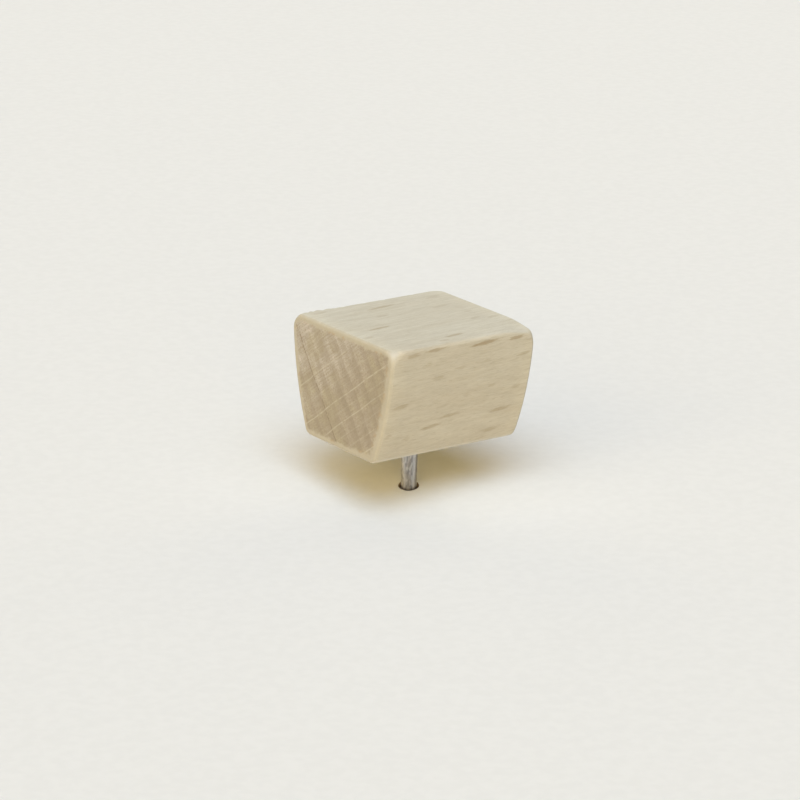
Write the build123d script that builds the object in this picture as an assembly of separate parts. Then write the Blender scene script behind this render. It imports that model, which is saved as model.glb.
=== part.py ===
from build123d import *
import math
import os

# A push pin: a wedge-shaped beech head on a straight steel pin.
# Millimetres. X runs along the grain of the wood and Z points up through the head.
# The origin is the middle of the head's underside, where the pin leaves the wood.

# Head
HEAD_LENGTH = 13.0
HEAD_HEIGHT = 9.0
TOP_WIDTH = 12.6
UNDERSIDE_WIDTH = 8.5
FLANK_CROWN = 0.45
UNDERSIDE_EDGE_RADIUS = 0.7
EDGE_RADIUS = 0.3
TOP_CORNER_CUT = 0.9

# Pin
PIN_DIAMETER = 1.2
PIN_REACH = 10.0
SEATED_LENGTH = 6.0
POINT_LENGTH = 3.0
TIP_RADIUS = 0.05
BLUNT_END_CHAMFER = 0.15
SERRATION_COUNT = 8
SERRATION_DEPTH = 0.06

# Drilled seat for the pin
GLUE_FILM = 0.02
HOLE_END_ROOM = 0.3
DRILL_POINT_ANGLE = 118.0
MOUTH_CHAMFER = 0.12


def drilled_seat():
    """Space that the drill leaves: a chamfered mouth, a straight wall and a conical end."""
    radius = PIN_DIAMETER / 2 + GLUE_FILM
    wall_end = SEATED_LENGTH + HOLE_END_ROOM
    cone_height = radius / math.tan(math.radians(DRILL_POINT_ANGLE / 2))
    with BuildPart() as space:
        with BuildSketch(Plane.XZ):
            Polygon(
                (0, 0),
                (radius + MOUTH_CHAMFER, 0),
                (radius, MOUTH_CHAMFER),
                (radius, wall_end),
                (0, wall_end + cone_height),
                align=None,
            )
        revolve(axis=Axis.Z)
    return space.part


def wooden_head():
    """Length of moulded strip: flat top and underside, bowed flanks, drilled from below.

    The four top corners are sanded back across their three edges, and every edge is rounded.
    """
    half_top = TOP_WIDTH / 2
    half_underside = UNDERSIDE_WIDTH / 2
    with BuildPart() as head:
        with BuildSketch(Plane.YZ):
            with BuildLine():
                Line((-half_underside, 0), (half_underside, 0))
                SagittaArc((half_underside, 0), (half_top, HEAD_HEIGHT), -FLANK_CROWN)
                Line((half_top, HEAD_HEIGHT), (-half_top, HEAD_HEIGHT))
                SagittaArc((-half_top, HEAD_HEIGHT), (-half_underside, 0), -FLANK_CROWN)
            make_face()
        extrude(amount=HEAD_LENGTH / 2, both=True)
        for corner in head.vertices().group_by(Axis.Z)[-1]:
            outward = Vector(math.copysign(1, corner.X), math.copysign(1, corner.Y), 1).normalized()
            sanded = Plane(Vector(corner) - outward * TOP_CORNER_CUT / math.sqrt(3), z_dir=outward)
            split(bisect_by=sanded, keep=Keep.BOTTOM)
        fillet(head.edges().filter_by(Axis.X).group_by(Axis.Z)[0], UNDERSIDE_EDGE_RADIUS)
        top_long_edges = head.edges().filter_by(Axis.X).group_by(Axis.Z)[-1]
        end_and_corner_edges = head.edges().filter_by(Axis.X, reverse=True)
        fillet(top_long_edges + end_and_corner_edges, EDGE_RADIUS)
        add(drilled_seat(), mode=Mode.SUBTRACT)
    return head.part


def steel_pin():
    """Wire pin: a ground point that narrows in one long arc, a plain shank, and a serrated part in the wood.

    Each serration narrows upwards and has its step facing down, so the pin goes in easily and holds.
    """
    radius = PIN_DIAMETER / 2
    root_radius = radius - SERRATION_DEPTH
    pitch = SEATED_LENGTH / SERRATION_COUNT
    serrations = []
    for tooth in range(SERRATION_COUNT):
        serrations.append((radius, tooth * pitch))
        serrations.append((root_radius, (tooth + 1) * pitch))

    shoulder = POINT_LENGTH - PIN_REACH
    tip_height = POINT_LENGTH - TIP_RADIUS
    arc_radius = (tip_height**2 + radius**2 - TIP_RADIUS**2) / (2 * (radius - TIP_RADIUS))
    arc_angle = math.degrees(math.atan2(tip_height, arc_radius - radius))
    with BuildPart() as pin:
        with BuildSketch(Plane.XZ):
            with BuildLine():
                CenterArc((0, TIP_RADIUS - PIN_REACH), TIP_RADIUS, -90, 90 - arc_angle)
                CenterArc((radius - arc_radius, shoulder), arc_radius, -arc_angle, arc_angle)
                Polyline((radius, shoulder), *serrations, (0, SEATED_LENGTH), (0, -PIN_REACH))
            make_face()
        revolve(axis=Axis.Z)
        chamfer(pin.edges().group_by(Axis.Z)[-1], BLUNT_END_CHAMFER)
    return pin.part


os.makedirs("parts", exist_ok=True)
for make_piece in (wooden_head, steel_pin):
    export_step(make_piece(), f"parts/{make_piece.__name__}.step")
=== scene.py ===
import math

import bpy
import numpy as np
from mathutils import Matrix, Vector
from mathutils.kdtree import KDTree


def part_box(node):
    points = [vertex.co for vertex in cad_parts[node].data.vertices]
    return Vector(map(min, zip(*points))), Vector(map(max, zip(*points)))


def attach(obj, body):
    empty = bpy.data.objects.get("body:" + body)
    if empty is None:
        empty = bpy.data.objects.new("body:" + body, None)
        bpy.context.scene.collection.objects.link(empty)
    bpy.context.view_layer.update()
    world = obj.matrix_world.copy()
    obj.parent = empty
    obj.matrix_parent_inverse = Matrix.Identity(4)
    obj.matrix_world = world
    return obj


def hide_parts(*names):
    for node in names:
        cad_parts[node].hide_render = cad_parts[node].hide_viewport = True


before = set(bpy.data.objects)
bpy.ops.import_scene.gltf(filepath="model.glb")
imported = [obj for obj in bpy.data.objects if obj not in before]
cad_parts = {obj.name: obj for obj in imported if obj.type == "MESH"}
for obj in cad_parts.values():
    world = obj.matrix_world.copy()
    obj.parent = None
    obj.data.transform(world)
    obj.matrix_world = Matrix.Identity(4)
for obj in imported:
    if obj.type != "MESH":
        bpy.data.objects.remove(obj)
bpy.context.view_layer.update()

# A push pin: a wedge-shaped beech head on a steel pin, stuck part way into pale card.
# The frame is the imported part's: X along the grain, Z up through the head. Lengths that come from it or are
# written with MM are in metres, and all others are in millimetres. Colours are linear.
MM = 0.001

# Head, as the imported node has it
head_low, head_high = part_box("wooden_head")
HEAD_LENGTH = head_high.x - head_low.x
HEAD_HEIGHT = head_high.z - head_low.z
TOP_WIDTH = 12.6 * MM
UNDERSIDE_WIDTH = 8.5 * MM
FLANK_CROWN = 0.45 * MM
UNDERSIDE_EDGE_RADIUS = 0.7 * MM
END_EDGE_RADIUS = 0.25 * MM
NEAR_TOP_RADIUS = 0.3 * MM
# The far top edge is sanded rounder than the near one
FAR_TOP_RADIUS = 1.15 * MM

# Mesh of the head: steps across, up and along it and round the edge of an end, how much the steps crowd
# towards the section's corners, and how finely each arc of the section is sampled
STEPS_ACROSS = 110
STEPS_UP = 90
STEPS_ALONG = 110
END_ROUNDING_STEPS = 8
STEP_CROWDING = 0.75
ARC_SAMPLES = 200
# Steps across and up an end's edge from which distances are measured, and how near the end a point
# counts as on it
RIM_STEPS = (600, 440)
ON_END = 1e-4

# Sanding of corners: the sides along X, Y and Z, the belt's tilt, how deep it cut, how far it gave way,
# and how bare it left the wood
CORNER_SANDING = (
    ((-1, 1, 1), (1, 1, 1), -0.34, 0.5, 0.3),
    ((-1, -1, 1), (1, 1, 1), 0.15, 0.5, 1.0),
    ((1, 1, 1), (1, 1, 1), 0.05, 0.5, 0.1),
    ((1, -1, 1), (0.22, 0.22, 1), 0.32, 0.3, 0.0),
    ((1, -1, 1), (1, 1, 0.6), 0.05, 0.35, 0.0),
    ((1, -1, -1), (1, 1, 1), -0.30, 0.5, 0.0),
)
# Small chips, and raised fibres with a depth below zero, along the far top edge: place along the grain,
# half width and depth
EDGE_CHIPS = (
    (-5.9, 0.25, -0.05), (-5.4, 0.14, -0.08), (-4.8, 0.28, -0.08), (-4.3, 0.1, 0.03), (-3.9, 0.3, -0.05),
    (-3.2, 0.12, 0.04), (-2.5, 0.2, 0.04), (-0.6, 0.14, 0.04), (1.2, 0.2, 0.05), (3.9, 0.14, 0.04),
)
# The rounding's slope where the chips lie, and how far they reach across it
CHIP_SLOPE = math.radians(66)
CHIP_REACH = 0.22

# Hole in the underside
HOLE_RADIUS = 0.62 * MM
HOLE_DEPTH = 6.3 * MM
HOLE_END_HEIGHT = 0.37 * MM
MOUTH_CHAMFER = 0.12 * MM

# Pin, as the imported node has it
pin_low, pin_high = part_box("steel_pin")
PIN_RADIUS = pin_high.x
POINT_LENGTH = 3.0 * MM
TIP_RADIUS = 0.05 * MM
SERRATION_COUNT = 8
SERRATION_DEPTH = 0.06 * MM
SERRATION_STEP = 0.02 * MM
BLUNT_END_CHAMFER = 0.15 * MM

# Mesh of the pin: sides, which the drill has too, and samples along the tip, the point and the shank
ROUND_SIDES = 64
TIP_SAMPLES = 6
POINT_SAMPLES = 24
SHANK_SAMPLES = 30

# Grain: its run leans a little off X, and the rays on the end grain climb towards the -Y flank
GRAIN_RUN = (1.0, 0.04, 0.05)
RAY_ANGLE = math.radians(36)

# Noises: how many waves to a millimetre along each axis, and how much detail. In the wood the axes run
# along the grain, the rays and the rings. Nearly all values of a noise lie in NOISE_SPAN.
WOOD_NOISES = {
    "blotch": ((1.8, 1.8, 1.8), 3.0),
    "tone": ((0.08, 0.5, 0.5), 2.0),
    "streak": ((0.22, 3.5, 3.5), 3.0),
    "fibre": ((0.9, 16, 16), 2.0),
    "cloud": ((0.55, 2.2, 2.2), 3.0),
    "vessels": ((1.3, 26, 26), 1.0),
    "wander": ((0.0, 0.25, 0.25), 2.0),
    "dots": ((0.5, 2, 3.0), 2.0),
    "hatch_along": ((0.8, 0.6, 7.0), 2.0),
    "hatch_across": ((0.8, 1.3, 0.35), 2.0),
    "pores": ((1.0, 7, 8), 2.0),
}
WIRE_NOISES = {
    "streak": ((2.2, 2.2, 0.25), 3.0),
    "mottle": ((5, 5, 2), 2.0),
    "fine": ((6, 6, 2.2), 1.0),
}
CARD_NOISES = {"fibre": ((1.2, 1.2, 1.2), 4.0)}
NOISE_SPAN = (0.3, 0.7)

# Long grain: its plain colour, and coats in order, each with what it follows, the span over which that
# counts, the coat's share at either end of the span, and its colour
LONG_GRAIN_COLOUR = (0.504, 0.474, 0.383, 1)
LONG_GRAIN_COATS = (
    ("tone", NOISE_SPAN, (0.0, 1.0), (0.465, 0.423, 0.329, 1)),
    ("streak", (0.4, 0.7), (0.0, 0.45), (0.42, 0.378, 0.285, 1)),
    ("cloud", (0.35, 0.65), (0.4, 0.0), (0.415, 0.383, 0.30, 1)),
    ("fibre", (0.3, 0.8), (0.0, 0.35), (0.58, 0.555, 0.473, 1)),
    ("vessels", (0.58, 0.72), (0.0, 0.5), (0.34, 0.30, 0.215, 1)),
)
# Tints that multiply it, two of them painted light: what each follows, where it starts and where it is full,
# and its colour
LONG_GRAIN_TINTS_AND_PAINTED_LIGHT = (
    # Painted bounce light: the long faces lighter towards the bottom
    ("up", (8 * MM, 0.5 * MM), (1.085, 1.075, 1.07, 1)),
    ("from_end", (1.5, 0.0), (1.06, 1.06, 1.05, 1)),
    # Painted light: faces that look up lighter and bluer, as sheen and cool light from above
    ("facing_up", (0.7, 0.95), (1.048, 1.082, 1.126, 1)),
)

# Dark ray flecks on the front flank: along the grain, height, length and strength
FRONT_FLECKS = (
    (-2.7, 8.65, 1.6, 0.65), (1.85, 8.5, 2.5, 0.85), (4.75, 8.45, 1.5, 0.7), (5.6, 7.1, 1.2, 0.45),
    (-3.2, 7.6, 0.8, 0.25), (-0.2, 6.9, 1.1, 0.3), (-2.2, 6.4, 1.1, 0.3), (2.2, 7.1, 0.7, 0.25),
    (2.9, 5.0, 0.8, 0.3), (5.3, 4.5, 1.1, 0.35), (0.7, 4.65, 0.6, 0.2), (-1.3, 4.0, 1.3, 0.2),
    (-0.5, 3.1, 1.8, 0.4), (-2.1, 2.45, 1.8, 0.55), (4.2, 2.8, 1.9, 0.55), (3.8, 1.1, 1.5, 0.4),
    (-5.3, 4.6, 1.5, 0.45), (-5.8, 2.35, 0.7, 0.35), (-4.1, 1.8, 0.8, 0.3), (-4.6, 8.5, 1.2, 0.45),
)
# The same on the top: along the grain, across it, length and strength
TOP_FLECKS = (
    (-0.3, 3.7, 2.8, 0.6), (-1.6, 1.8, 1.2, 0.4), (-3.7, -0.7, 2.2, 0.6), (-5.7, -2.25, 1.0, 0.35),
    (-5.1, 4.75, 1.4, 0.35), (3.8, 1.7, 1.5, 0.3), (4.7, 4.0, 1.3, 0.3), (4.7, -0.4, 0.8, 0.3),
    (4.1, -2.1, 0.9, 0.3), (5.5, -2.5, 1.3, 0.35), (0.0, -4.9, 1.8, 0.7), (-1.3, -5.6, 0.9, 0.4),
)
# The same on the far flank: along the grain, height, length and strength
FAR_FLECKS = (
    (-4.6, 7.7, 1.9, 0.7), (-1.2, 8.1, 1.4, 0.5), (2.6, 7.2, 2.2, 0.75), (5.2, 5.9, 1.2, 0.5),
    (-2.9, 5.6, 1.0, 0.4), (0.6, 5.2, 1.7, 0.55), (-5.2, 3.4, 1.3, 0.5), (3.4, 3.6, 1.5, 0.6),
    (-1.4, 2.6, 1.9, 0.6), (1.5, 1.3, 1.0, 0.4),
)
# A fleck's blade: half its reach along the grain for each millimetre of length, half its height along
# the ray, half its thickness, and the shares of these between which it fades in
FLECK_REACH = 0.65
FLECK_BLADE = (0.9, 0.15)
FLECK_FADE = (1.0, 0.4)
# Ragged ends of the flecks: waves to a millimetre, detail, and how far they shift along each axis
FLECK_TEAR_WAVES = (1.6, 2, 9)
FLECK_TEAR_DETAIL = 2.0
FLECK_TEAR = (1.0, 0.0, 0.16)
# Small flecks that fill in at random: cells to a millimetre, where in its cell a fleck fades in,
# which cells have one, and the strongest
SMALL_FLECK_CELLS = (0.3, 0.05, 2.6)
SMALL_FLECK_FADE = (0.24, 0.08)
SMALL_FLECK_CHOICE = (0.35, 1.0)
SMALL_FLECK_STRENGTH = 0.35
FLECK_TINT = (0.67, 0.59, 0.47, 1)

# End grain: its palest colour, the coats under the growth rings, and the coats over them
END_GRAIN_COLOUR = (0.59, 0.557, 0.51, 1)
END_GROUND_COATS = (
    ("ring", (-8.5, -3.0), (0.0, 1.0), (0.412, 0.361, 0.283, 1)),
    ("tone", (0.42, 0.62), (0.0, 0.7), (0.41, 0.367, 0.242, 1)),
)
END_HATCH_COATS = (
    ("hatch_along", NOISE_SPAN, (0.5, 0.0), (0.285, 0.245, 0.18, 1)),
    ("hatch_across", (0.3, 0.74), (0.55, 0.0), (0.285, 0.245, 0.18, 1)),
    ("pores", (0.48, 0.72), (0.0, 0.6), (0.26, 0.215, 0.15, 1)),
)
# Growth rings: their spacing, how far they wander and where they start, in years
RING_SPACING = 1.4
RING_WANDER = 0.5
RING_START = -0.32
# Late wood: the parts of a year in which it darkens and ends, and two places along the rings
# with its strength there
LATE_WOOD_RISE = (0.2, 0.9)
LATE_WOOD_END = (1.0, 0.9)
LATE_WOOD_RUN = (-8.5, -2.0)
LATE_WOOD_STRENGTH = (0.28, 0.62)
LATE_WOOD_COLOUR = (0.29, 0.247, 0.187, 1)
# Dark line at a year's end: its place in the year, its half width, the gaps in it, how far from the origin
# along the ray it goes on, and its strength beyond that and within it
RING_LINE_PLACE = 0.95
RING_LINE_WIDTH = (0.05, 0.01)
RING_LINE_GAPS = (0.37, 0.54)
RING_LINE_REACH = (1.0, 0.4)
RING_LINE_STRENGTH = (0.15, 0.9)
RING_LINE_COLOUR = (0.20, 0.155, 0.105, 1)

# Pale rays on the near end: place along the rings, strength, and where each starts and ends along the ray
NEAR_END_RAYS = (
    (9.7, 0.7, -1.0, 1.6), (5.85, 0.7, -3.0, 5.0), (3.15, 1.0, -3.5, 11.0), (1.55, 0.75, -3.0, 7.5),
    (-0.31, 0.4, -1.0, 5.0), (-1.35, 1.0, 1.8, 6.0), (7.3, 0.35, -2.5, 4.5), (4.4, 0.3, -3.0, 9.0),
    (2.3, 0.3, 1.0, 9.5), (0.6, 0.3, -1.0, 7.0),
)
# Their half width, how far past and before its ends a ray fades, how they bend, and how broken they are
RAY_WIDTH = (0.075, 0.015)
RAY_FADE_OUTSIDE = 0.6
RAY_FADE_INSIDE = 0.4
RAY_BEND_WAVES = 0.25
RAY_BEND = 0.25
RAY_GAPS = (0.3, 0.6)
RAY_STRENGTH = (0.2, 0.55)
RAY_COLOUR = (0.53, 0.49, 0.39, 1)

# Rim of an end: how unevenly it runs, its width, its width low on the near side, and where that begins
RIM_WAVER = 0.8
RIM_WIDTHS = (0.3, 0.55)
WIDE_RIM_ACROSS = (0.0, -5 * MM)
WIDE_RIM_UP = (8.8 * MM, 6.5 * MM)
# Brown blotches that the saw left at the rim: how far in they fade, in widths of the rim,
# which of the noise's blotches they are, and the strongest
SCORCH_RIM = (1.6, 0.9)
SCORCH_BLOTCH = (0.54, 0.66)
SCORCH_STRENGTH = 0.6
SCORCH_COLOUR = (0.43, 0.325, 0.20, 1)
# Where the surface turns into end grain, by the way it faces and by widths of the rim
END_FACING = (0.8, 0.97)
END_RIM = (-0.1, 1.2)
# Pale edges: those round the ends worn pale, and the underside's rounding partly worn and partly painted
# bounce light
# from the card: two spans that both count, strength and colour
RUBBED_AND_BOUNCE_LIT_EDGES = (
    ("endwise", (0.1, 0.6), "rim", (1.0, 0.0), 0.6, (0.385, 0.355, 0.275, 1)),
    # Painted bounce light, with some wear: the rounding that faces down made pale
    ("facing_up", (-0.4, -0.7), "facing_up", (-0.99, -0.9), 0.7, (0.66, 0.62, 0.52, 1)),
)
# Corners that are sanded bare
BARE_COATS = (("worn", (0.02, 0.3), (0.0, 0.65), (0.495, 0.49, 0.44, 1)),)
# Roughness from streak to streak, gloss, the depth of the relief, and the part that the fibres have in it
WOOD_ROUGHNESS = (0.52, 0.66)
WOOD_SPECULAR = 0.35
WOOD_RELIEF = 0.016 * MM
FIBRE_RELIEF = 0.6

# Drawn wire: its two plain colours, the strength and colour of its mottling, roughness and relief
WIRE_COLOURS = ((0.66, 0.635, 0.605, 1), (0.78, 0.755, 0.725, 1))
MOTTLE_SPAN = (0.35, 0.65)
MOTTLE_STRENGTH = 0.55
MOTTLE_COLOUR = (0.24, 0.23, 0.225, 1)
WIRE_ROUGHNESS = (0.30, 0.44)
WIRE_RELIEF = 0.008 * MM
# Dark stripes along the wire, painted reflections of dark surroundings, one facing the camera and one at each
# side: angle from -Y towards +X in degrees, half width, strength
PAINTED_REFLECTION_STRIPES = ((-37, 0.33, 0.95), (50, 0.45, 0.78), (-128, 0.14, 0.35))
# Half widths between which a painted reflection fades in, how ragged it is, how its strength breaks up, and
# its colour
STRIPE_FADE = (1.3, 0.5)
STRIPE_RAGGED = 0.4
STRIPE_BREAKS = (0.3, 0.65)
STRIPE_SHARES = (0.5, 1.0)
REFLECTION_STRIPE_COLOUR = (0.18, 0.175, 0.175, 1)

# Where the card's face lies below the head, how steeply the pin has tipped it up behind and down in front,
# how far round the pin that reaches, how far the card goes, and how many sides its rings have
CARD_HEIGHT = -3.93 * MM
CARD_TILT = 0.19
CARD_TILT_RADIUS = 8.5 * MM
CARD_RADIUS = 800 * MM
CARD_SIDES = 96
# Hole that the pin has pushed in it: rings from its foot outwards, by share of its radius and height,
# how many of them make its wall, lobes that make it uneven, by size, count and turn, and where these end
CARD_HOLE_RADIUS = 0.73 * MM
CARD_HOLE_RINGS = (
    (0.98, -1.6), (1.0, -0.25), (1.02, -0.1), (1.08, -0.035), (1.25, -0.01), (1.8, 0.0), (4.0, 0.0),
)
HOLE_WALL_RINGS = 3
HOLE_LOBES = ((0.03, 2, 0.7), (0.02, 5, 0.0))
UNEVEN_RADIUS = 2 * MM
# Plain rings of the card round the hole, and the looks of the card and of the hole's wall, painted dark brown
# as shade
PLAIN_START = 3.5 * MM
PLAIN_RINGS = 40
CARD_COLOURS = ((0.75, 0.765, 0.755, 1), (0.73, 0.745, 0.735, 1))
CARD_ROUGHNESS = 0.9
CARD_SPECULAR = 0.2
CARD_RELIEF = 0.01 * MM
HOLE_SHADE_COLOUR = (0.24, 0.17, 0.095, 1)

# Lamps: angle from the camera towards its right, angle above the floor, how wide each looks (degrees),
# and the light it gives a face square to it
STUDIO_LAMPS = (
    ("key", 0, 55, 40, (1.16, 1.46, 1.87)),
    ("overhead", 0, 67, 76, (1.09, 1.14, 1.31)),
    ("low_front", 0, 13, 40, (1.17, 0.78, 0.20)),
    ("low_left", -36, 18, 40, (1.02, 0.80, 0.46)),
    ("low_back_right", 150, 12, 50, (0.58, 0.45, 0.20)),
    ("low_back_left", 210, 12, 50, (0.58, 0.45, 0.20)),
)
FILL_COLOUR = (0.22, 0.16, 0.066, 1)
BACKGROUND_COLOUR = (0.86, 0.85, 0.82, 1)

# Camera of the photograph
FOCAL_PIXELS = 3500
PICTURE_PIXELS = 800
SENSOR_WIDTH = 36.0
VIEW_AZIMUTH = math.radians(-36.861)
VIEW_ELEVATION = math.radians(17.617)
VIEW_ROLL = math.radians(1.685)
VIEW_DISTANCE = 259.112 * MM
HEAD_CENTRE_PIXEL = (411.93, 377.10)
NEAREST_SEEN = 10 * MM


class Shader:
    """A material's node tree, with short calls for the nodes that the finishes use."""

    def __init__(self, owner):
        owner.use_nodes = True
        self.tree = owner.node_tree
        self.tree.nodes.clear()

    def node(self, kind, inputs=None, **settings):
        """Adds a node. An input that is a socket is linked, and any other is set."""
        made = self.tree.nodes.new(kind)
        for name, value in settings.items():
            setattr(made, name, value)
        for name, value in (inputs or {}).items():
            if isinstance(value, bpy.types.NodeSocket):
                self.tree.links.new(value, made.inputs[name])
            else:
                made.inputs[name].default_value = value
        return made

    def math(self, operation, first, second=0.0):
        return self.node("ShaderNodeMath", {0: first, 1: second}, operation=operation).outputs[0]

    def vector(self, operation, first, second=(0.0, 0.0, 0.0), third=(0.0, 0.0, 0.0)):
        made = self.node("ShaderNodeVectorMath", {0: first, 1: second, 2: third}, operation=operation)
        return made.outputs["Value" if operation == "LENGTH" else "Vector"]

    def split(self, vector):
        """X, Y and Z of a vector."""
        return self.node("ShaderNodeSeparateXYZ", {0: vector}).outputs

    def attribute(self, name):
        """A value that the mesh stores at each vertex."""
        return self.node("ShaderNodeAttribute", attribute_name=name).outputs["Fac"]

    def stretch(self, vector, scale, turn=(0.0, 0.0, 0.0)):
        made = self.node("ShaderNodeMapping", {"Vector": vector, "Scale": scale, "Rotation": turn})
        return made.outputs["Vector"]

    def place(self, turn=(0.0, 0.0, 0.0)):
        """Place on the object in millimetres, on turned axes if a turn is given."""
        coordinates = self.node("ShaderNodeTexCoord")
        return self.stretch(coordinates.outputs["Object"], (1 / MM,) * 3, turn)

    def noises(self, place, rows):
        """A noise for each row of a table, by name."""
        made = {}
        for name, (waves, detail) in rows.items():
            inputs = {"Vector": self.stretch(place, waves), "Scale": 1.0, "Detail": detail}
            made[name] = self.node("ShaderNodeTexNoise", inputs).outputs["Fac"]
        return made

    def swing(self, noise, size):
        """A noise as a swing to both sides of zero."""
        return self.math("MULTIPLY", self.math("SUBTRACT", noise, 0.5), size)

    def remap(self, value, low, high, to_low=0.0, to_high=1.0):
        """Smooth step of value from low to high."""
        made = self.node(
            "ShaderNodeMapRange",
            {"Value": value, "From Min": low, "From Max": high, "To Min": to_low, "To Max": to_high},
            interpolation_type="SMOOTHSTEP",
        )
        return made.outputs["Result"]

    def both(self, first, first_span, second, second_span, strength=1.0):
        """Mask of the places where two values are each past their span."""
        first_share = self.remap(first, *first_span)
        second_share = self.remap(second, *second_span, 0.0, strength)
        return self.math("MULTIPLY", first_share, second_share)

    def mix(self, factor, first, second, blend="MIX"):
        """Mix of two colours, for which the node has inputs 6 and 7 and output 2."""
        inputs = {0: factor, 6: first, 7: second}
        return self.node("ShaderNodeMix", inputs, data_type="RGBA", blend_type=blend).outputs[2]

    def coats(self, colour, fields, rows):
        """Lays the coats of a table over colour, in order."""
        for name, span, shares, tint in rows:
            colour = self.mix(self.remap(fields[name], *span, *shares), colour, tint)
        return colour

    def bump(self, height, distance):
        inputs = {"Height": height, "Distance": distance, "Strength": 1.0}
        return self.node("ShaderNodeBump", inputs).outputs["Normal"]

    def finish(self, **inputs):
        """Ends the tree with one principled surface."""
        named = {name.replace("_", " "): value for name, value in inputs.items()}
        surface = self.node("ShaderNodeBsdfPrincipled", named)
        self.node("ShaderNodeOutputMaterial", {"Surface": surface.outputs[0]})


def new_object(name, data):
    made = bpy.data.objects.new(name, data)
    bpy.context.scene.collection.objects.link(made)
    return made


def smooth(mesh):
    mesh.polygons.foreach_set("use_smooth", np.ones(len(mesh.polygons), bool))


def lathe(name, profile):
    """Closed mesh turned about Z from a list of (radius, height) that starts and ends on the axis."""
    sides = ROUND_SIDES
    turns = np.arange(sides) * 2 * math.pi / sides
    inner = profile[1:-1]
    points = [(r * math.cos(a), r * math.sin(a), z) for r, z in inner for a in turns]
    start, end = len(points), len(points) + 1
    points += [(0, 0, profile[0][1]), (0, 0, profile[-1][1])]
    faces = []
    last = (len(inner) - 1) * sides
    for k in range(sides):
        after = (k + 1) % sides
        for ring in range(0, last, sides):
            faces.append((ring + k, ring + after, ring + sides + after, ring + sides + k))
        faces.append((start, after, k))
        faces.append((end, last + k, last + after))
    mesh = bpy.data.meshes.new(name)
    mesh.from_pydata(points, [], faces)
    smooth(mesh)
    return mesh


def half_section(top_radius):
    """Half of the head's section, from the underside's middle to the top's middle, with y counted outwards.

    Returns arc length, y, z and the angle of the outward normal, finely sampled, and the arc length at the
    middle of the two roundings.
    """
    low = np.array((UNDERSIDE_WIDTH / 2, 0.0))
    high = np.array((TOP_WIDTH / 2, HEAD_HEIGHT))
    chord = np.linalg.norm(high - low)
    flank_radius = (chord**2 / 4 + FLANK_CROWN**2) / (2 * FLANK_CROWN)
    along = (high - low) / chord
    outward = np.array((along[1], -along[0]))
    centre = (low + high) / 2 - outward * (flank_radius - FLANK_CROWN)

    def rounding(radius, height):
        """How far out the centre of a rounding inside the flank lies, and the angle where the two meet."""
        reach = flank_radius - radius
        across = centre[0] + math.sqrt(reach**2 - (height - centre[1]) ** 2)
        return across, math.atan2(height - centre[1], across - centre[0])

    low_z, high_z = UNDERSIDE_EDGE_RADIUS, HEAD_HEIGHT - top_radius
    low_y, low_angle = rounding(UNDERSIDE_EDGE_RADIUS, low_z)
    high_y, high_angle = rounding(top_radius, high_z)
    quarter = math.pi / 2
    pieces = (
        (0.0, low_z, UNDERSIDE_EDGE_RADIUS, -quarter, -quarter),
        (low_y, low_z, UNDERSIDE_EDGE_RADIUS, -quarter, low_angle),
        (centre[0], centre[1], flank_radius, low_angle, high_angle),
        (high_y, high_z, top_radius, high_angle, quarter),
        (0.0, high_z, top_radius, quarter, quarter),
    )
    y, z, normal = [], [], []
    for middle_y, middle_z, radius, first, last in pieces:
        angle = np.linspace(first, last, ARC_SAMPLES if last > first else 1)
        y.append(middle_y + radius * np.cos(angle))
        z.append(middle_z + radius * np.sin(angle))
        normal.append(angle)
    y, z, normal = (np.concatenate(part) for part in (y, z, normal))
    length = np.concatenate(([0.0], np.cumsum(np.hypot(np.diff(y), np.diff(z)))))
    corners = []
    for middle in ((-quarter + low_angle) / 2, (quarter + high_angle) / 2):
        corners.append(np.interp(middle, normal, length))
    return length, y, z, normal, corners


def eased(count):
    """Shares from 0 to 1 in count steps that crowd towards both ends, where the edges are."""
    even = np.linspace(0, 1, count + 1)
    return even - STEP_CROWDING * np.sin(2 * math.pi * even) / (2 * math.pi)


def section_loop(across, up):
    """The section as a closed loop of points and normals, its corners in the middle of the roundings."""
    span = eased(across)[across // 2:] * 2 - 1
    climb = eased(up)
    halves = []
    for side, top_radius in ((1, FAR_TOP_RADIUS), (-1, NEAR_TOP_RADIUS)):
        length, y, z, normal, (low, high) = half_section(top_radius)
        top = length[-1] - span[::-1] * (length[-1] - high)
        distance = np.concatenate((span * low, (low + (high - low) * climb)[1:], top[1:]))
        angle = np.interp(distance, length, normal)
        points = np.stack((side * np.interp(distance, length, y), np.interp(distance, length, z)), -1)
        normals = np.stack((side * np.cos(angle), np.sin(angle)), -1)
        halves.append((points, normals))
    (far, far_normals), (near, near_normals) = halves
    start = across // 2
    points = np.concatenate((near[start:0:-1], far, near[-2:start:-1]))
    normals = np.concatenate((near_normals[start:0:-1], far_normals, near_normals[-2:start:-1]))
    return points, normals


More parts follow.
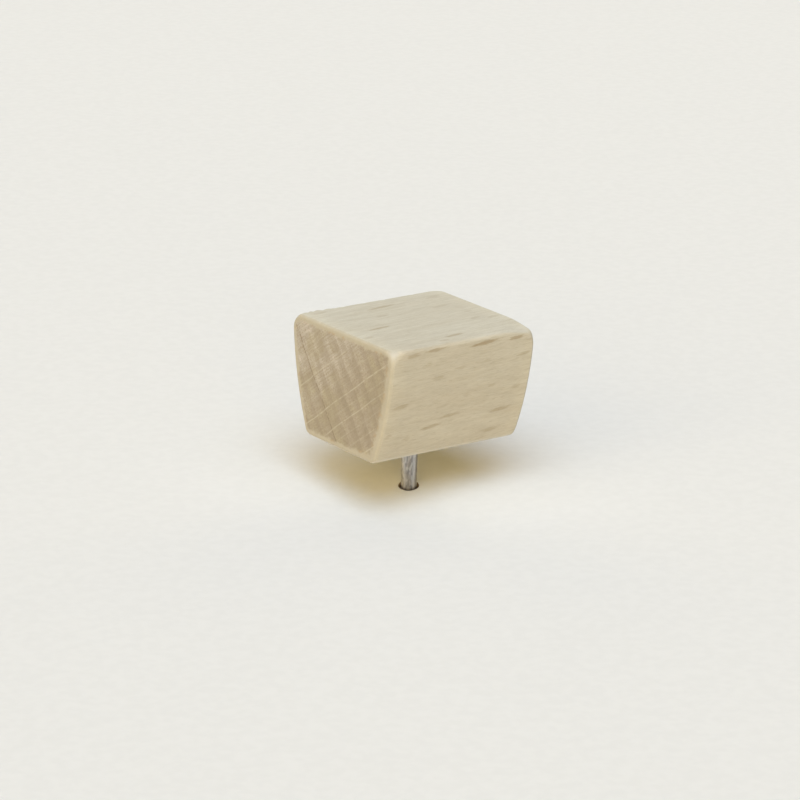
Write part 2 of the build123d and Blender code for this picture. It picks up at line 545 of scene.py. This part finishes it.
def end_cap(edge, count, first, made):
    """Grid that closes an end, on the section loop of count points whose numbers in edge start at first.

    Returns its inner points, which are numbered from made, and its quads.
    """
    across, up = STEPS_ACROSS, STEPS_UP
    grid = np.zeros((up + 1, across + 1), int)
    grid[0] = first + np.arange(across + 1)
    grid[:, -1] = first + across + np.arange(up + 1)
    grid[-1] = first + 2 * across + up - np.arange(across + 1)
    grid[:, 0] = first + (count - np.arange(up + 1)) % count
    grid[1:-1, 1:-1] = made + np.arange((up - 1) * (across - 1)).reshape(up - 1, across - 1)
    u = eased(across)[None, 1:-1, None]
    v = eased(up)[1:-1, None, None]
    under, top = edge[grid[0]][None, 1:-1], edge[grid[-1]][None, 1:-1]
    left, right = edge[grid[:, 0]][1:-1, None], edge[grid[:, -1]][1:-1, None]
    corner = edge[grid[[0, 0, -1, -1], [0, -1, 0, -1]]]
    flat = (1 - v) * ((1 - u) * corner[0] + u * corner[1]) + v * ((1 - u) * corner[2] + u * corner[3])
    inside = (1 - v) * under + v * top + (1 - u) * left + u * right - flat
    quads = np.stack((grid[:-1, :-1], grid[:-1, 1:], grid[1:, 1:], grid[1:, :-1]), -1)
    return inside.reshape(-1, 3), quads.reshape(-1, 4)


def head_shell():
    """All-quad shell of the head: section loops along the grain, a quarter round and a grid at each end."""
    points, normals = section_loop(STEPS_ACROSS, STEPS_UP)
    count = len(points)
    turn = np.linspace(0, math.pi / 2, END_ROUNDING_STEPS + 1)
    end_x = HEAD_LENGTH / 2 - END_EDGE_RADIUS * (1 - np.sin(turn))
    end_inset = END_EDGE_RADIUS * (1 - np.cos(turn))
    body_x = np.linspace(-end_x[0], end_x[0], STEPS_ALONG + 1)
    stations = np.concatenate((-end_x[:0:-1], body_x, end_x[1:]))
    insets = np.concatenate((end_inset[:0:-1], np.zeros(STEPS_ALONG + 1), end_inset[1:]))
    loops = []
    for x, inset in zip(stations, insets):
        loops.append(np.column_stack((np.full(count, x), points - normals * inset)))
    sides = np.concatenate(loops)
    step = np.arange(count)
    after = (step + 1) % count
    faces = []
    last = len(sides) - count
    for low in range(0, last, count):
        high = low + count
        faces.append(np.stack((low + step, low + after, high + after, high + step), -1))
    near_points, near_quads = end_cap(sides, count, 0, len(sides))
    far_points, far_quads = end_cap(sides, count, last, len(sides) + len(near_points))
    faces += [near_quads[:, ::-1], far_quads]
    vertices = np.concatenate((sides, near_points, far_points))
    mesh = bpy.data.meshes.new("beech_head")
    mesh.from_pydata(vertices.tolist(), [], np.concatenate(faces).tolist())
    return mesh


def drill_hole(head):
    """Cuts the pin's hole out of the underside."""
    mouth = HOLE_RADIUS + MOUTH_CHAMFER
    cutter = new_object("drill", lathe("drill", [
        (0, -mouth), (2 * mouth, -mouth), (mouth, 0), (HOLE_RADIUS, MOUTH_CHAMFER),
        (HOLE_RADIUS, HOLE_DEPTH), (0, HOLE_DEPTH + HOLE_END_HEIGHT),
    ]))
    cut = head.modifiers.new("hole", "BOOLEAN")
    cut.operation = "DIFFERENCE"
    cut.solver = "EXACT"
    cut.object = cutter
    evaluated = head.evaluated_get(bpy.context.evaluated_depsgraph_get())
    drilled = bpy.data.meshes.new_from_object(evaluated)
    head.modifiers.clear()
    head.data = drilled
    bpy.data.objects.remove(cutter)


def rim_distance(place):
    """How far each point lies from the rounded edges of the two ends, all in millimetres."""
    points, normals = section_loop(*RIM_STEPS)
    rim = KDTree(len(points))
    for index, (y, z) in enumerate((points - normals * END_EDGE_RADIUS) / MM):
        rim.insert((0, y, z), index)
    rim.balance()
    half_length = HEAD_LENGTH / 2 / MM
    from_end = half_length - np.abs(place[:, 0])
    distance = np.clip(from_end - END_EDGE_RADIUS / MM, 0, None)
    for index in np.flatnonzero(from_end < ON_END):
        distance[index] = rim.find((0, place[index, 1], place[index, 2]))[2]
    return distance


def chip_far_edge(place):
    """Moves points (mm) near the far top edge in for its chips and out for its raised fibres."""
    _, y, z, normal, _ = half_section(FAR_TOP_RADIUS)
    edge_y, edge_z = (np.interp(CHIP_SLOPE, normal, side) / MM for side in (y, z))
    edge_gap = np.hypot(place[:, 1] - edge_y, place[:, 2] - edge_z)
    inward = np.array((-math.cos(CHIP_SLOPE), -math.sin(CHIP_SLOPE)))
    for along, half_width, depth in EDGE_CHIPS:
        chip = depth * np.exp(-(((place[:, 0] - along) / half_width) ** 2) - (edge_gap / CHIP_REACH) ** 2)
        place[:, 1:] += chip[:, None] * inward


def sand_corners(place):
    """Moves points (mm) at the sanded corners in, and returns how bare each point is left."""
    worn = np.zeros(len(place))
    for sides, tilt, depth, softness, bare in CORNER_SANDING:
        outward = np.array(tilt) * sides / np.linalg.norm(tilt)
        reach = place @ outward
        past = np.clip(reach - reach.max() + depth + softness, 0, None)
        taken = past - softness * (1 - np.exp(-past / softness))
        place -= taken[:, None] * outward
        worn = np.maximum(worn, bare * taken)
    return worn


def wear_head(mesh):
    """Chips the far top edge, sands corners back, and stores the wear for the finish."""
    place = np.empty(len(mesh.vertices) * 3)
    mesh.vertices.foreach_get("co", place)
    place = place.reshape(-1, 3) / MM
    marks = {"rim": rim_distance(place)}
    chip_far_edge(place)
    marks["worn"] = sand_corners(place)
    mesh.vertices.foreach_set("co", (place * MM).ravel())
    for name, values in marks.items():
        mesh.attributes.new(name, "FLOAT", "POINT").data.foreach_set("value", values.astype(np.float32))
    mesh.update()


def grain_axes():
    """Rows: along the grain, along the rays and along the rings."""
    along = Vector(GRAIN_RUN).normalized()
    ray = Vector((0, -math.cos(RAY_ANGLE), math.sin(RAY_ANGLE)))
    ray = (ray - along * ray.dot(along)).normalized()
    return Matrix((along, ray, along.cross(ray)))


def flecks_on_head():
    """Every listed fleck as its middle in the head (mm), its length and its strength."""
    rows = []
    for side, top_radius, flecks in ((-1, NEAR_TOP_RADIUS, FRONT_FLECKS), (1, FAR_TOP_RADIUS, FAR_FLECKS)):
        _, y, z, _, _ = half_section(top_radius)
        flank = (z > z[1]) & (z < z[-1])
        for along, height, long, strength in flecks:
            across = side * np.interp(height, z[flank] / MM, y[flank] / MM)
            rows.append(((along, across, height), long, strength))
    for along, across, long, strength in TOP_FLECKS:
        rows.append(((along, across, HEAD_HEIGHT / MM), long, strength))
    return rows


def placed_flecks(s, grain):
    """Mask of the listed flecks: blades of ray tissue that the long faces cut, with ragged ends."""
    waves = s.stretch(grain, FLECK_TEAR_WAVES)
    tear = s.node("ShaderNodeTexNoise", {"Vector": waves, "Scale": 1.0, "Detail": FLECK_TEAR_DETAIL})
    tear = s.vector("SUBTRACT", tear.outputs["Color"], (0.5, 0.5, 0.5))
    torn = s.vector("MULTIPLY_ADD", tear, FLECK_TEAR, grain)
    mask = None
    for middle, long, strength in flecks_on_head():
        size = (FLECK_REACH * long, *FLECK_BLADE)
        near = s.node(
            "ShaderNodeMapping",
            {"Vector": torn, "Location": grain_axes() @ Vector(middle), "Scale": size},
            vector_type="TEXTURE",
        )
        blade = s.remap(s.vector("LENGTH", near.outputs[0]), *FLECK_FADE, 0.0, strength)
        mask = s.math("MAXIMUM", mask, blade) if mask else blade
    return mask


def small_flecks(s, grain):
    """Mask of the small flecks that fill in between, one in some of the cells along the grain."""
    inputs = {"Vector": s.stretch(grain, SMALL_FLECK_CELLS), "Scale": 1.0}
    cells = s.node("ShaderNodeTexVoronoi", inputs, feature="F1").outputs
    chance = s.node("ShaderNodeSeparateColor", {0: cells["Color"]}).outputs[0]
    return s.both(cells["Distance"], SMALL_FLECK_FADE, chance, SMALL_FLECK_CHOICE, SMALL_FLECK_STRENGTH)


def end_rays(s, ray, ring):
    """Mask of the pale rays across the end grain, nearly straight."""
    drift = grain_axes() @ Vector((-HEAD_LENGTH / 2 / MM, 0, 0))
    waves = {"W": s.math("MULTIPLY", ray, RAY_BEND_WAVES), "Scale": 1.0}
    bend = s.node("ShaderNodeTexNoise", waves, noise_dimensions="1D").outputs["Fac"]
    ring = s.math("ADD", ring, s.swing(bend, RAY_BEND))
    mask = None
    for place, strength, start, end in NEAR_END_RAYS:
        off = s.math("ABSOLUTE", s.math("ADD", ring, place - drift.z))
        line = s.remap(off, *RAY_WIDTH, 0.0, strength)
        line = s.math("MULTIPLY", line, s.remap(ray, start - RAY_FADE_OUTSIDE, start + RAY_FADE_INSIDE))
        line = s.math("MULTIPLY", line, s.remap(ray, end + RAY_FADE_OUTSIDE, end - RAY_FADE_INSIDE))
        mask = s.math("MAXIMUM", mask, line) if mask else line
    return mask


def wood_fields(s):
    """What the wood's colours follow: noises, places in the grain and on the head, facing, and wear."""
    grain = s.place(grain_axes().to_euler())
    coordinates = s.node("ShaderNodeTexCoord").outputs
    fields = s.noises(grain, WOOD_NOISES)
    fields["grain"] = grain
    _, fields["ray"], fields["ring"] = s.split(grain)
    _, fields["across"], fields["up"] = s.split(coordinates["Object"])
    lengthwise, _, fields["facing_up"] = s.split(coordinates["Normal"])
    fields["endwise"] = s.math("ABSOLUTE", lengthwise)
    fields["worn"] = s.attribute("worn")
    fields["from_end"] = s.math("ADD", s.attribute("rim"), s.swing(fields["blotch"], RIM_WAVER))
    wide_rim = s.both(fields["across"], WIDE_RIM_ACROSS, fields["up"], WIDE_RIM_UP)
    fields["rim"] = s.math("DIVIDE", fields["from_end"], s.remap(wide_rim, 0.0, 1.0, *RIM_WIDTHS))
    return fields


def long_grain(s, fields):
    """Colour of the faces along the grain: streaks, fine vessels and dark flecks, with painted light that
    makes them lighter low down and lighter and bluer where they look up.
    """
    colour = s.coats(LONG_GRAIN_COLOUR, fields, LONG_GRAIN_COATS)
    # Tints, among them painted light: lighter low down, and lighter and bluer on faces that look up
    for name, span, tint in LONG_GRAIN_TINTS_AND_PAINTED_LIGHT:
        colour = s.mix(s.remap(fields[name], *span), colour, tint, "MULTIPLY")
    flecks = s.math("MAXIMUM", small_flecks(s, fields["grain"]), placed_flecks(s, fields["grain"]))
    return s.mix(flecks, colour, FLECK_TINT, "MULTIPLY")


def end_grain(s, fields):
    """Colour of the two ends: growth rings, hatching, pores, pale rays and blotches at the rim."""
    ray, ring, dots = fields["ray"], fields["ring"], fields["dots"]
    wander = s.math("MULTIPLY", fields["wander"], RING_WANDER)
    year = s.math("ADD", s.math("MULTIPLY", ray, 1 / RING_SPACING), wander)
    year = s.math("FRACT", s.math("ADD", year, RING_START))
    late_wood = s.both(year, LATE_WOOD_RISE, year, LATE_WOOD_END)
    late_wood = s.math("MULTIPLY", late_wood, s.remap(ring, *LATE_WOOD_RUN, *LATE_WOOD_STRENGTH))
    off_line = s.math("ABSOLUTE", s.math("SUBTRACT", year, RING_LINE_PLACE))
    line_strength = s.remap(s.math("ABSOLUTE", ray), *RING_LINE_REACH, *RING_LINE_STRENGTH)
    ring_line = s.math("MULTIPLY", s.both(off_line, RING_LINE_WIDTH, dots, RING_LINE_GAPS), line_strength)
    rays = s.math("MULTIPLY", end_rays(s, ray, ring), s.remap(dots, *RAY_GAPS, *RAY_STRENGTH))
    scorch = s.both(fields["rim"], SCORCH_RIM, fields["blotch"], SCORCH_BLOTCH, SCORCH_STRENGTH)
    colour = s.coats(END_GRAIN_COLOUR, fields, END_GROUND_COATS)
    colour = s.mix(late_wood, colour, LATE_WOOD_COLOUR)
    colour = s.coats(colour, fields, END_HATCH_COATS)
    colour = s.mix(ring_line, colour, RING_LINE_COLOUR)
    colour = s.mix(rays, colour, RAY_COLOUR)
    return s.mix(scorch, colour, SCORCH_COLOUR)


def beech():
    """Sanded beech as a solid: grain along X, growth rings and rays across it, edges worn pale, and painted
    light: bounce on the underside's rounding and low on the long faces, sheen where they look up.
    """
    material = bpy.data.materials.new("sanded_beech")
    s = Shader(material)
    fields = wood_fields(s)
    at_end = s.both(fields["endwise"], END_FACING, fields["rim"], END_RIM)
    colour = s.mix(at_end, long_grain(s, fields), end_grain(s, fields))
    # Pale edges: worn round the ends, worn and painted with bounce light on the underside's rounding
    for first, first_span, second, second_span, strength, tint in RUBBED_AND_BOUNCE_LIT_EDGES:
        worn_and_bounce_lit = s.both(fields[first], first_span, fields[second], second_span, strength)
        colour = s.mix(worn_and_bounce_lit, colour, tint)
    colour = s.coats(colour, fields, BARE_COATS)
    height = s.math("SUBTRACT", s.math("MULTIPLY", fields["fibre"], FIBRE_RELIEF), fields["pores"])
    s.finish(
        Base_Color=colour,
        Roughness=s.remap(fields["streak"], *NOISE_SPAN, *WOOD_ROUGHNESS),
        Specular_IOR_Level=WOOD_SPECULAR,
        Normal=s.bump(height, WOOD_RELIEF),
    )
    return material


def make_head():
    """Wooden head, with its hole, its wear and its grain."""
    head = new_object("beech_head", head_shell())
    drill_hole(head)
    wear_head(head.data)
    smooth(head.data)
    head.data.materials.clear()
    head.data.materials.append(beech())
    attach(head, "root")
    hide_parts("wooden_head")


def pin_profile():
    """(radius, height) pairs from the tip up to the blunt end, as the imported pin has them."""
    tip_height = POINT_LENGTH - TIP_RADIUS
    arc_radius = (tip_height**2 + PIN_RADIUS**2 - TIP_RADIUS**2) / (2 * (PIN_RADIUS - TIP_RADIUS))
    arc_angle = math.atan2(tip_height, arc_radius - PIN_RADIUS)
    shoulder = pin_low.z + POINT_LENGTH
    profile = [(0.0, pin_low.z)]
    for turn in np.linspace(math.pi / 2, arc_angle, TIP_SAMPLES)[1:]:
        profile.append((TIP_RADIUS * math.cos(turn), pin_low.z + TIP_RADIUS * (1 - math.sin(turn))))
    for turn in np.linspace(arc_angle, 0, POINT_SAMPLES)[1:]:
        radius = PIN_RADIUS - arc_radius * (1 - math.cos(turn))
        profile.append((radius, shoulder - arc_radius * math.sin(turn)))
    for height in np.linspace(shoulder, 0, SHANK_SAMPLES)[1:]:
        profile.append((PIN_RADIUS, height))
    pitch = pin_high.z / SERRATION_COUNT
    root = PIN_RADIUS - SERRATION_DEPTH
    for tooth in range(1, SERRATION_COUNT):
        profile.append((root, tooth * pitch))
        profile.append((PIN_RADIUS, tooth * pitch + SERRATION_STEP))
    profile.append((root, pin_high.z - BLUNT_END_CHAMFER))
    profile.append((root - BLUNT_END_CHAMFER, pin_high.z))
    profile.append((0.0, pin_high.z))
    return profile


def drawn_steel():
    """Bare drawn wire: faint streaks along the pin, fine mottling, and dark stripes painted as reflections,
    one facing the camera and one at each side.
    """
    material = bpy.data.materials.new("drawn_steel")
    s = Shader(material)
    place = s.place()
    fields = s.noises(place, WIRE_NOISES)
    mottle = fields["mottle"]
    ragged = s.swing(mottle, STRIPE_RAGGED)
    colour = s.mix(s.remap(fields["streak"], *NOISE_SPAN), *WIRE_COLOURS)
    # Painted reflections: dark bands where the wire would mirror dark surroundings
    for degrees, half_width, strength in PAINTED_REFLECTION_STRIPES:
        angle = math.radians(degrees)
        middle = Vector((math.sin(angle), -math.cos(angle), 0)) * PIN_RADIUS / MM
        away = s.vector("MULTIPLY", s.vector("SUBTRACT", place, middle), (1.0, 1.0, 0.0))
        away = s.math("ADD", s.vector("LENGTH", away), ragged)
        fade = [share * half_width for share in STRIPE_FADE]
        reflection_stripe = s.remap(away, *fade, 0.0, strength)
        reflection_stripe = s.math("MULTIPLY", reflection_stripe, s.remap(fields["fine"], *STRIPE_BREAKS, *STRIPE_SHARES))
        colour = s.mix(reflection_stripe, colour, REFLECTION_STRIPE_COLOUR)
    colour = s.mix(s.remap(mottle, *MOTTLE_SPAN, 0.0, MOTTLE_STRENGTH), colour, MOTTLE_COLOUR)
    s.finish(
        Base_Color=colour,
        Metallic=1.0,
        Roughness=s.remap(mottle, *NOISE_SPAN, *WIRE_ROUGHNESS),
        Normal=s.bump(mottle, WIRE_RELIEF),
    )
    return material


def make_pin():
    """Steel pin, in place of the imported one."""
    pin = new_object("wire_pin", lathe("wire_pin", pin_profile()))
    pin.data.materials.append(drawn_steel())
    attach(pin, "root")
    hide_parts("steel_pin")


def pale_card():
    """Matt card with a faint fibre."""
    material = bpy.data.materials.new("pale_card")
    s = Shader(material)
    fibre = s.noises(s.place(), CARD_NOISES)["fibre"]
    s.finish(
        Base_Color=s.mix(s.remap(fibre, *NOISE_SPAN), *CARD_COLOURS),
        Roughness=CARD_ROUGHNESS,
        Specular_IOR_Level=CARD_SPECULAR,
        Normal=s.bump(fibre, CARD_RELIEF),
    )
    return material


def shaded_hole_wall():
    """Painted shade: dark brown for the wall and foot of the hole."""
    material = bpy.data.materials.new("shaded_hole_wall")
    Shader(material).finish(Base_Color=HOLE_SHADE_COLOUR, Roughness=CARD_ROUGHNESS)
    return material


def card_ring(radius, drop):
    """Points of the card round the pin, on the tipped face or a drop below it."""
    points = []
    for turn in [2 * math.pi * k / CARD_SIDES for k in range(CARD_SIDES)]:
        lobes = sum(size * math.sin(count * turn + start) for size, count, start in HOLE_LOBES)
        uneven = 1 + lobes * (radius < UNEVEN_RADIUS)
        x, y = radius * uneven * math.cos(turn), radius * uneven * math.sin(turn)
        behind = y * math.cos(VIEW_AZIMUTH) - x * math.sin(VIEW_AZIMUTH)
        rise = CARD_TILT * behind * math.exp(-((radius / CARD_TILT_RADIUS) ** 2))
        points.append((x, y, CARD_HEIGHT + rise + drop))
    return points


def make_floor():
    """Card that the pin has tipped a little, with the hole that it has pushed in it."""
    sides = CARD_SIDES
    rings = [(CARD_HOLE_RADIUS * share, drop * MM) for share, drop in CARD_HOLE_RINGS]
    rings += [(radius, 0.0) for radius in np.geomspace(PLAIN_START, CARD_RADIUS, PLAIN_RINGS)]
    points, faces = [], []
    for radius, drop in rings:
        points += card_ring(radius, drop)
    for low in range(0, (len(rings) - 1) * sides, sides):
        for k in range(sides):
            after = (k + 1) % sides
            faces.append((low + k, low + sides + k, low + sides + after, low + after))
    faces.append(tuple(range(sides)))
    mesh = bpy.data.meshes.new("card_floor")
    mesh.from_pydata(points, [], faces)
    smooth(mesh)
    mesh.materials.append(pale_card())
    mesh.materials.append(shaded_hole_wall())
    # The hole's wall and foot take the painted shade
    for face in mesh.polygons:
        if face.index < HOLE_WALL_RINGS * sides or len(face.vertices) == sides:
            face.material_index = 1
    new_object("card_floor", mesh)


def direction(azimuth, elevation):
    """Unit vector out from the object, turned from -Y towards +X and lifted above the floor."""
    level = math.cos(elevation)
    return Vector((math.sin(azimuth) * level, -math.cos(azimuth) * level, math.sin(elevation)))


def light_studio():
    """Soft lamps round the object, a dim fill from all sides, and a pale background."""
    world = bpy.data.worlds.new("soft_fill")
    bpy.context.scene.world = world
    s = Shader(world)
    rays = s.node("ShaderNodeLightPath").outputs
    seen = s.math("MAXIMUM", rays["Is Camera Ray"], rays["Is Transmission Ray"])
    seen = s.math("MAXIMUM", seen, rays["Is Glossy Ray"])
    colour = s.mix(seen, FILL_COLOUR, BACKGROUND_COLOUR)
    sky = s.node("ShaderNodeBackground", {"Color": colour, "Strength": 1.0})
    s.node("ShaderNodeOutputWorld", {"Surface": sky.outputs[0]})
    for name, turn, lift, width, power in STUDIO_LAMPS:
        lamp = bpy.data.lights.new(name, "SUN")
        lamp.angle = math.radians(width)
        lamp.energy = max(power)
        lamp.color = [channel / max(power) for channel in power]
        towards = direction(VIEW_AZIMUTH + math.radians(turn), math.radians(lift))
        new_object(name, lamp).rotation_euler = towards.to_track_quat("Z", "Y").to_euler()


def place_camera():
    """Camera of the photograph, with the head's middle at its place in the picture."""
    back = direction(VIEW_AZIMUTH, VIEW_ELEVATION)
    level = Vector((math.cos(VIEW_AZIMUTH), math.sin(VIEW_AZIMUTH), 0))
    roll = Matrix.Rotation(VIEW_ROLL, 3, back)
    right, up = roll @ level, roll @ back.cross(level)
    per_pixel = VIEW_DISTANCE / FOCAL_PIXELS
    offset_x = (HEAD_CENTRE_PIXEL[0] - PICTURE_PIXELS / 2) * per_pixel
    offset_y = (HEAD_CENTRE_PIXEL[1] - PICTURE_PIXELS / 2) * per_pixel
    centre = Vector((0, 0, HEAD_HEIGHT / 2))
    place = centre + back * VIEW_DISTANCE - right * offset_x + up * offset_y
    lens = bpy.data.cameras.new("camera")
    lens.sensor_width = SENSOR_WIDTH
    lens.lens = FOCAL_PIXELS * SENSOR_WIDTH / PICTURE_PIXELS
    lens.clip_start = NEAREST_SEEN
    camera = new_object("camera", lens)
    camera.matrix_world = Matrix.Translation(place) @ Matrix((right, up, back)).transposed().to_4x4()
    bpy.context.scene.camera = camera


make_head()
make_pin()
make_floor()
light_studio()
place_camera()
bpy.context.scene.view_settings.view_transform = "Standard"
